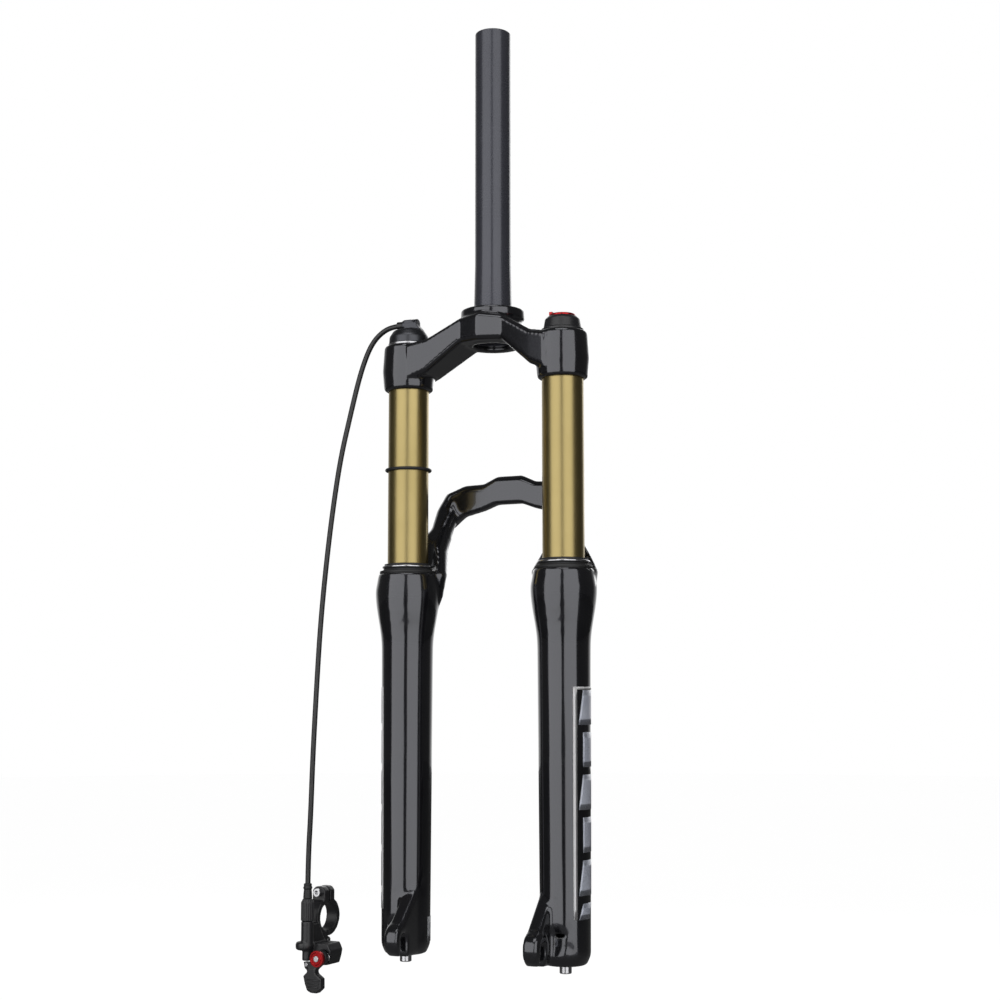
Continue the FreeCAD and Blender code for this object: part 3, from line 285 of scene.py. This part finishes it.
def make_fine_surface():
    """Slow drift of gloss and fine grain, as one value and one height."""
    group, start, end = new_group(
        "fine_surface",
        [("Grain", "Float", 1500.0), ("Drift", "Float", 25.0), ("Stretch", "Vector", (1, 1, 1)),
         ("Low", "Float", 0.2), ("High", "Float", 0.3)],
        [("Roughness", "Float"), ("Height", "Float")],
    )
    nodes, links = group.nodes, group.links
    place = nodes.new("ShaderNodeTexCoord")
    stretched = nodes.new("ShaderNodeVectorMath")
    stretched.operation = "MULTIPLY"
    links.new(place.outputs["Object"], stretched.inputs[0])
    links.new(start.outputs["Stretch"], stretched.inputs[1])
    grain = nodes.new("ShaderNodeTexNoise")
    grain.inputs["Detail"].default_value = 3
    links.new(stretched.outputs["Vector"], grain.inputs["Vector"])
    links.new(start.outputs["Grain"], grain.inputs["Scale"])
    drift = nodes.new("ShaderNodeTexNoise")
    drift.inputs["Detail"].default_value = 2
    links.new(place.outputs["Object"], drift.inputs["Vector"])
    links.new(start.outputs["Drift"], drift.inputs["Scale"])
    mixed = nodes.new("ShaderNodeMix")
    mixed.data_type = "FLOAT"
    mixed.inputs["Factor"].default_value = 0.4
    links.new(drift.outputs["Fac"], mixed.inputs[2])
    links.new(grain.outputs["Fac"], mixed.inputs[3])
    spread = nodes.new("ShaderNodeMapRange")
    spread.inputs["From Min"].default_value = 0.35
    spread.inputs["From Max"].default_value = 0.65
    links.new(mixed.outputs[0], spread.inputs["Value"])
    links.new(start.outputs["Low"], spread.inputs["To Min"])
    links.new(start.outputs["High"], spread.inputs["To Max"])
    links.new(spread.outputs["Result"], end.inputs["Roughness"])
    links.new(grain.outputs["Fac"], end.inputs["Height"])
    return group


def make_two_tone():
    """Two close colours mottled together, moved towards a third colour by a mask."""
    group, start, end = new_group(
        "two_tone",
        [("Colour", "Color", (0.5, 0.5, 0.5, 1)), ("Shade", "Color", (0.4, 0.4, 0.4, 1)),
         ("Bare", "Color", (0.7, 0.7, 0.7, 1)), ("Mask", "Float", 0.0), ("Patch", "Float", 30.0)],
        [("Colour", "Color")],
    )
    nodes, links = group.nodes, group.links
    place = nodes.new("ShaderNodeTexCoord")
    patch = nodes.new("ShaderNodeTexNoise")
    patch.inputs["Detail"].default_value = 5
    links.new(place.outputs["Object"], patch.inputs["Vector"])
    links.new(start.outputs["Patch"], patch.inputs["Scale"])
    share = ranged(nodes, links, patch.outputs["Fac"], 0.35, 0.65, 0, 1)
    base = nodes.new("ShaderNodeMix")
    base.data_type = "RGBA"
    links.new(share, base.inputs["Factor"])
    links.new(start.outputs["Colour"], base.inputs[6])
    links.new(start.outputs["Shade"], base.inputs[7])
    worn = nodes.new("ShaderNodeMix")
    worn.data_type = "RGBA"
    links.new(start.outputs["Mask"], worn.inputs["Factor"])
    links.new(base.outputs[2], worn.inputs[6])
    links.new(start.outputs["Bare"], worn.inputs[7])
    links.new(worn.outputs[2], end.inputs["Colour"])
    return group


EDGE_WEAR = make_edge_wear()
FINE_SURFACE = make_fine_surface()
TWO_TONE = make_two_tone()

# ---------------------------------------------------------------- finishes


def finish(name, colour, shade, bare, metallic=0.0, rough=(0.2, 0.3), grain=1500.0, stretch=(1, 1, 1),
           bump=0.02, reach=0.0005, wear=0.4, coat=0.0, coat_rough=0.03, specular=0.5, patch=30.0,
           tint=(1, 1, 1)):
    """One finish of the fork: mottled colour, worn edges, fine grain in gloss and height."""
    material = bpy.data.materials.new(name)
    material.use_nodes = True
    nodes, links = material.node_tree.nodes, material.node_tree.links
    shader = nodes["Principled BSDF"]
    edge = nodes.new("ShaderNodeGroup")
    edge.node_tree = EDGE_WEAR
    edge.inputs["Reach"].default_value = reach
    edge.inputs["Amount"].default_value = wear
    tone = nodes.new("ShaderNodeGroup")
    tone.node_tree = TWO_TONE
    tone.inputs["Colour"].default_value = (*colour, 1)
    tone.inputs["Shade"].default_value = (*shade, 1)
    tone.inputs["Bare"].default_value = (*bare, 1)
    tone.inputs["Patch"].default_value = patch
    links.new(edge.outputs["Mask"], tone.inputs["Mask"])
    links.new(tone.outputs["Colour"], shader.inputs["Base Color"])
    fine = nodes.new("ShaderNodeGroup")
    fine.node_tree = FINE_SURFACE
    fine.inputs["Grain"].default_value = grain
    fine.inputs["Stretch"].default_value = stretch
    fine.inputs["Low"].default_value = rough[0]
    fine.inputs["High"].default_value = rough[1]
    links.new(fine.outputs["Roughness"], shader.inputs["Roughness"])
    relief = nodes.new("ShaderNodeBump")
    relief.inputs["Strength"].default_value = bump
    relief.inputs["Distance"].default_value = 0.0002
    links.new(fine.outputs["Height"], relief.inputs["Height"])
    links.new(edge.outputs["Normal"], relief.inputs["Normal"])
    links.new(relief.outputs["Normal"], shader.inputs["Normal"])
    shader.inputs["Metallic"].default_value = metallic
    shader.inputs["Specular Tint"].default_value = (*tint, 1)
    shader.inputs["Coat Weight"].default_value = coat
    shader.inputs["Coat Roughness"].default_value = coat_rough
    shader.inputs["Specular IOR Level"].default_value = specular
    return material


FINISHES = {
    "black_paint": finish("gloss_black_paint", (0.0055, 0.0055, 0.0065), (0.007, 0.007, 0.008),
                          (0.04, 0.04, 0.042), rough=(0.13, 0.19), grain=900, bump=0.01, wear=0.25,
                          coat=1.0, coat_rough=0.04, specular=0.6, reach=0.0012,
                          tint=(0.86, 0.88, 1.0)),
    "steerer_alloy": finish("satin_steerer_alloy", (0.043, 0.044, 0.054), (0.036, 0.037, 0.046),
                            (0.2, 0.2, 0.21), rough=(0.22, 0.3), grain=700, bump=0.02,
                            coat=0.35, coat_rough=0.12, specular=0.6, tint=(0.86, 0.88, 1.0)),
    "gold_anodised": finish("gold_anodised", (0.385, 0.305, 0.135), (0.36, 0.285, 0.123),
                            (0.6, 0.5, 0.3), metallic=1.0, rough=(0.29, 0.35), grain=1100,
                            stretch=(0.25, 0.25, 3), bump=0.015, wear=0.2),
    "gunmetal": finish("gunmetal_anodised", (0.075, 0.077, 0.085), (0.06, 0.062, 0.07),
                       (0.4, 0.4, 0.42), metallic=0.85, rough=(0.26, 0.36), wear=0.45),
    "silver_alloy": finish("brushed_silver_alloy", (0.56, 0.56, 0.58), (0.48, 0.48, 0.5),
                           (0.75, 0.75, 0.76), metallic=1.0, rough=(0.2, 0.32), bump=0.05),
    "black_alloy": finish("satin_black_alloy", (0.018, 0.018, 0.02), (0.013, 0.013, 0.015),
                          (0.16, 0.16, 0.17), rough=(0.3, 0.42), specular=0.6, wear=0.35),
    "red_anodised": finish("red_anodised", (0.46, 0.012, 0.014), (0.38, 0.008, 0.012),
                           (0.75, 0.25, 0.22), metallic=0.75, rough=(0.18, 0.27), wear=0.3),
    "polished_steel": finish("polished_steel", (0.62, 0.62, 0.64), (0.55, 0.55, 0.57),
                             (0.8, 0.8, 0.8), metallic=1.0, rough=(0.1, 0.2)),
    "brass": finish("turned_brass", (0.62, 0.45, 0.19), (0.52, 0.36, 0.14), (0.8, 0.66, 0.36),
                    metallic=1.0, rough=(0.18, 0.3)),
    "seal_rubber": finish("seal_rubber", (0.012, 0.012, 0.013), (0.017, 0.017, 0.018),
                          (0.035, 0.035, 0.035), rough=(0.45, 0.6), grain=2500, bump=0.08),
    "oiled_foam": finish("oiled_foam", (0.16, 0.14, 0.1), (0.11, 0.095, 0.07), (0.2, 0.18, 0.13),
                         rough=(0.5, 0.8), grain=2200, bump=0.4),
    "bushing_polymer": finish("bushing_polymer", (0.05, 0.06, 0.055), (0.04, 0.05, 0.045),
                              (0.4, 0.35, 0.25), rough=(0.35, 0.5)),
    "cable_jacket": finish("cable_jacket", (0.010, 0.010, 0.011), (0.014, 0.014, 0.015),
                           (0.03, 0.03, 0.03), rough=(0.28, 0.4), grain=1800, bump=0.03, specular=0.6),
}


def studio_white():
    """The floor's matt white, lit from within so that it meets the white walls."""
    material = bpy.data.materials.new("studio_white")
    material.use_nodes = True
    nodes, links = material.node_tree.nodes, material.node_tree.links
    shader = nodes["Principled BSDF"]
    place = nodes.new("ShaderNodeTexCoord")
    mottle = nodes.new("ShaderNodeTexNoise")
    mottle.inputs["Scale"].default_value = 3
    links.new(place.outputs["Object"], mottle.inputs["Vector"])
    tone = ranged(nodes, links, mottle.outputs["Fac"], 0.3, 0.7, 0.2, 0.22)
    links.new(tone, shader.inputs["Base Color"])
    shader.inputs["Roughness"].default_value = 0.9
    shader.inputs["Specular IOR Level"].default_value = 0.1
    shader.inputs["Emission Color"].default_value = (1, 1, 1, 1)
    path = nodes.new("ShaderNodeLightPath")
    glow = ranged(nodes, links, path.outputs["Is Camera Ray"], 0, 1, 0, FLOOR_GLOW)
    links.new(glow, shader.inputs["Emission Strength"])
    return material


floor.data.materials.append(studio_white())
housing.data.materials.append(FINISHES["cable_jacket"])
for node in frame["nodes"].values():
    for place in node.material_slots:
        place.material = FINISHES[place.material.name.split(".")[0]]

# ---------------------------------------------------------------- helpers for pieces


def add_piece(name, bm, body, slot, stands_for=(), smooth=True):
    """A finished mesh piece at the origin, riding on a body, with a finish."""
    mesh = bpy.data.meshes.new(name)
    bm.to_mesh(mesh)
    bm.free()
    for face in mesh.polygons:
        face.use_smooth = smooth
    piece = bpy.data.objects.new(name, mesh)
    bpy.context.scene.collection.objects.link(piece)
    piece.data.materials.append(FINISHES[slot])
    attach(piece, body)
    if stands_for:
        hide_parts(*stands_for)
    return piece


def softened(node, name, body, slot, cell, passes):
    """A cast copy of a CAD node: its corners and inside seams blended to small radii."""
    bm = bmesh.new()
    bm.from_mesh(frame["nodes"][node].data)
    bmesh.ops.remove_doubles(bm, verts=bm.verts, dist=0.00002)
    piece = add_piece(name, bm, body, slot, [node])
    remesh = piece.modifiers.new("even_skin", "REMESH")
    remesh.mode = "VOXEL"
    remesh.voxel_size = cell
    remesh.use_smooth_shade = True
    blend = piece.modifiers.new("blended_corners", "SMOOTH")
    blend.factor = 0.5
    blend.iterations = passes
    shaped = bpy.data.meshes.new_from_object(piece.evaluated_get(bpy.context.evaluated_depsgraph_get()))
    piece.modifiers.clear()
    shaped.name = name
    piece.data = shaped
    for face in shaped.polygons:
        face.use_smooth = True
    if not shaped.materials:
        shaped.materials.append(FINISHES[slot])
    return piece


# ---------------------------------------------------------------- cast and forged parts

# CAD node, piece, body, finish, size of the skin's cells, and how often its corners are eased
CAST_PARTS = [
    ("fork_crown", "forged_crown", "crown_assembly", "black_paint", 0.0009, 9),
    ("lower_legs", "cast_lower_legs", "lowers", "black_paint", 0.0015, 9),
    ("lockout_cover", "lockout_dome", "crown_assembly", "gunmetal", 0.00045, 6),
    ("remote_body", "remote_casting", "crown_assembly", "black_alloy", 0.0005, 6),
    ("clamp_strap", "clamp_half", "crown_assembly", "black_alloy", 0.0004, 5),
    ("thumb_lever", "lever_paddle", "lever", "black_alloy", 0.0004, 7),
]
for part in CAST_PARTS:
    softened(*part)

# ---------------------------------------------------------------- remote details

CLAMP = next(mount for mount in frame["record"]["mounts"] if mount["name"] == "handlebar_clamp")
REMOTE_PLACE = Vector(CLAMP["pos_m"])
REMOTE_TURN = math.atan2(-CLAMP["axis"][1], -CLAMP["axis"][0])
REMOTE_FRAME = Matrix.Translation(REMOTE_PLACE) @ Matrix.Rotation(REMOTE_TURN, 4, "Z")

BARREL_FLUTES = 16
FLUTE_CORNERS = 5
FLUTE_SHARE = 0.9
# the barrel's rings from its foot up: share of its height, and how much narrower than the last
BARREL_RINGS = ((0.03, 1.0), (0.8, 1.0), (0.14, 0.76), (0.03, 0.9))

RIB_COUNT = 4
RIB_PITCH = 0.0026
RIB_TOP = -0.0455
RIB_WIDE = 0.0125
RIB_TAPER = 0.0012
RIB_ACROSS = 0.0107
RIB_FRONT = -0.02785

BUTTON_RING = 0.0046
BUTTON_RING_SECTION = 0.00045
BUTTON_RING_INSET = 0.0008


def fluted_barrel():
    """The cable adjuster's barrel: flutes all round for the fingers, and a chamfered top."""
    low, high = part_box("barrel_adjuster")
    radius = (high.x - low.x) / 2
    tall = high.z - low.z
    bm = bmesh.new()
    corner_count = BARREL_FLUTES * FLUTE_CORNERS
    rim = bmesh.ops.create_circle(bm, cap_ends=True, segments=corner_count, radius=radius)["verts"]
    for index, vert in enumerate(rim):
        if index % FLUTE_CORNERS == 0:
            vert.co *= FLUTE_SHARE
    for rise, share in BARREL_RINGS:
        top = max(bm.faces, key=lambda face: face.calc_center_median().z)
        grown = bmesh.ops.extrude_face_region(bm, geom=[top])["geom"]
        corners = [item for item in grown if isinstance(item, bmesh.types.BMVert)]
        bmesh.ops.translate(bm, verts=corners, vec=(0, 0, rise * tall))
        bmesh.ops.scale(bm, verts=corners, vec=(share, share, 1))
        bmesh.ops.delete(bm, geom=[face for face in bm.faces if face == top], context="FACES_ONLY")
    bmesh.ops.holes_fill(bm, edges=bm.edges)
    bmesh.ops.recalc_face_normals(bm, faces=bm.faces)
    bmesh.ops.translate(bm, verts=bm.verts, vec=((low.x + high.x) / 2, (low.y + high.y) / 2, low.z))
    piece = add_piece("fluted_barrel", bm, "barrel", "black_alloy", ["barrel_adjuster"], smooth=False)
    edge = piece.modifiers.new("eased_edges", "BEVEL")
    edge.width = 0.00018
    edge.segments = 2


def grip_ridges():
    """Four raised ribs across the thumb paddle's front, near its foot."""
    bm = bmesh.new()
    for row in range(RIB_COUNT):
        rib = bmesh.ops.create_cube(bm, size=1)["verts"]
        bmesh.ops.scale(bm, verts=rib, vec=(RIB_WIDE - RIB_TAPER * row, 0.0012, 0.0011))
        bmesh.ops.translate(bm, verts=rib, vec=(RIB_ACROSS, RIB_FRONT, RIB_TOP - row * RIB_PITCH))
    bmesh.ops.bevel(bm, geom=bm.edges[:], offset=0.00035, segments=3, profile=0.5, affect="EDGES",
                    material=-1)
    bmesh.ops.transform(bm, matrix=REMOTE_FRAME, verts=bm.verts)
    add_piece("paddle_ribs", bm, "lever", "black_alloy")


def button_face():
    """A raised ring on the release button's face, round its small screw."""
    low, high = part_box("release_button")
    bm = bmesh.new()
    ring = bmesh.ops.create_circle(bm, segments=8, radius=BUTTON_RING_SECTION)["verts"]
    bmesh.ops.rotate(bm, verts=ring, cent=(0, 0, 0), matrix=Matrix.Rotation(math.pi / 2, 3, "X"))
    bmesh.ops.translate(bm, verts=ring, vec=(BUTTON_RING, 0, 0))
    bmesh.ops.spin(bm, geom=bm.edges[:] + ring, cent=(0, 0, 0), axis=(0, 0, 1), angle=math.tau,
                   steps=48, use_merge=True)
    bmesh.ops.recalc_face_normals(bm, faces=bm.faces)
    bmesh.ops.transform(bm, matrix=Matrix.Rotation(math.pi / 2, 4, "X"), verts=bm.verts)
    bmesh.ops.transform(bm, matrix=Matrix.Rotation(REMOTE_TURN, 4, "Z"), verts=bm.verts)
    middle = (low + high) / 2
    forward = Vector((math.sin(REMOTE_TURN), -math.cos(REMOTE_TURN), 0))
    reach = (high.y - low.y) / 2 / math.cos(REMOTE_TURN)
    face = middle + forward * (reach - BUTTON_RING_INSET)
    bmesh.ops.translate(bm, verts=bm.verts, vec=face)
    add_piece("button_ring", bm, "button", "red_anodised")


fluted_barrel()
grip_ridges()
button_face()

# ---------------------------------------------------------------- leg graphics and label

LEG_AXES = {"air": (0.066, -0.017), "damper": (-0.066, -0.017)}
ANKLE = (-0.493, 0.0188)
KNEE = (-0.264, 0.02015)
FILM = 0.00012


def leg_radius(height):
    """The painted leg's radius between its ankle and its knee."""
    share = (height - ANKLE[0]) / (KNEE[0] - ANKLE[0])
    return ANKLE[1] + share * (KNEE[1] - ANKLE[1])


def film_patch(bm, leg, start, sweep, low, high, lean=0.0, rows=6):
    """A thin film on a leg: from a start angle round from the front, leaning with height."""
    x, y = LEG_AXES[leg]
    outward = 1 if leg == "air" else -1
    line = []
    for row in range(rows + 1):
        share = row / rows
        height = low + share * (high - low)
        radius = leg_radius(height) + FILM
        angle = math.radians(start + lean * share) * outward
        line.append(bm.verts.new((x + radius * math.sin(angle), y - radius * math.cos(angle), height)))
    edges = [bm.edges.new(pair) for pair in zip(line, line[1:])]
    bmesh.ops.spin(bm, geom=line + edges, cent=(x, y, 0), axis=(0, 0, 1),
                   angle=math.radians(sweep) * outward, steps=max(2, round(sweep / 4)))


def film_piece(name, slot, leg, patches):
    """One film piece on the lower legs, made of patches that face outwards."""
    bm = bmesh.new()
    for patch in patches:
        film_patch(bm, leg, *patch)
    bmesh.ops.remove_doubles(bm, verts=bm.verts, dist=1e-7)
    x, y = LEG_AXES[leg]
    for face in bm.faces:
        outward = face.calc_center_median() - Vector((x, y, 0))
        outward.z = 0
        face.normal_update()
        if face.normal.dot(outward) < 0:
            face.normal_flip()
    piece = add_piece(name, bm, "lowers", slot)
    wall = piece.modifiers.new("film_thickness", "SOLIDIFY")
    wall.thickness = FILM / 2
    wall.offset = 1


FINISHES["white_film"] = finish("white_film", (0.97, 0.97, 0.98), (0.93, 0.93, 0.95), (0.97, 0.97, 0.97),
                                rough=(0.2, 0.3), wear=0.0, coat=0.6, coat_rough=0.05)
FINISHES["silver_film"] = finish("silver_film", (0.6, 0.63, 0.72), (0.5, 0.53, 0.62), (0.6, 0.6, 0.65),
                                 metallic=0.3, rough=(0.25, 0.38), wear=0.0, coat=0.6,
                                 coat_rough=0.05, patch=90.0)
FINISHES["grey_label"] = finish("grey_label", (0.42, 0.43, 0.45), (0.3, 0.31, 0.33), (0.5, 0.5, 0.5),
                                rough=(0.4, 0.5), wear=0.0, patch=700.0)

FILM_FOOT = -0.466
FILM_TOP = -0.297
TOP_BAR = 0.0022
STRIPE = (40.0, 9.5)
PANEL_START = 53.0
PANEL_SWEEP = 56.0
PANEL_LEAN = 12.0
# the panels from the top down: top, foot, and how far each leans, in degrees round the leg
PANELS = ((-0.2995, -0.325, 12), (-0.3305, -0.356, 0), (-0.3615, -0.387, 12), (-0.3925, -0.418, 0),
          (-0.4235, -0.449, 12))
for leg in LEG_AXES:
    film_piece(f"leg_stripe_{leg}", "white_film", leg, [
        (STRIPE[0], STRIPE[1], FILM_FOOT, FILM_TOP, 0.0, 24),
        (STRIPE[0] + STRIPE[1], 74, FILM_TOP - TOP_BAR, FILM_TOP, 0.0, 2),
    ])
    film_piece(f"leg_panels_{leg}", "silver_film", leg, [
        (PANEL_START + PANEL_LEAN - lean, PANEL_SWEEP, low, high, float(lean), 6) for high, low, lean in PANELS
    ] + [(PANEL_START, 40, FILM_FOOT, FILM_FOOT + 0.0115, PANEL_LEAN, 3)])
film_piece("leg_label", "grey_label", "damper", [(-118, 30, -0.491, -0.472, 0.0, 4)])
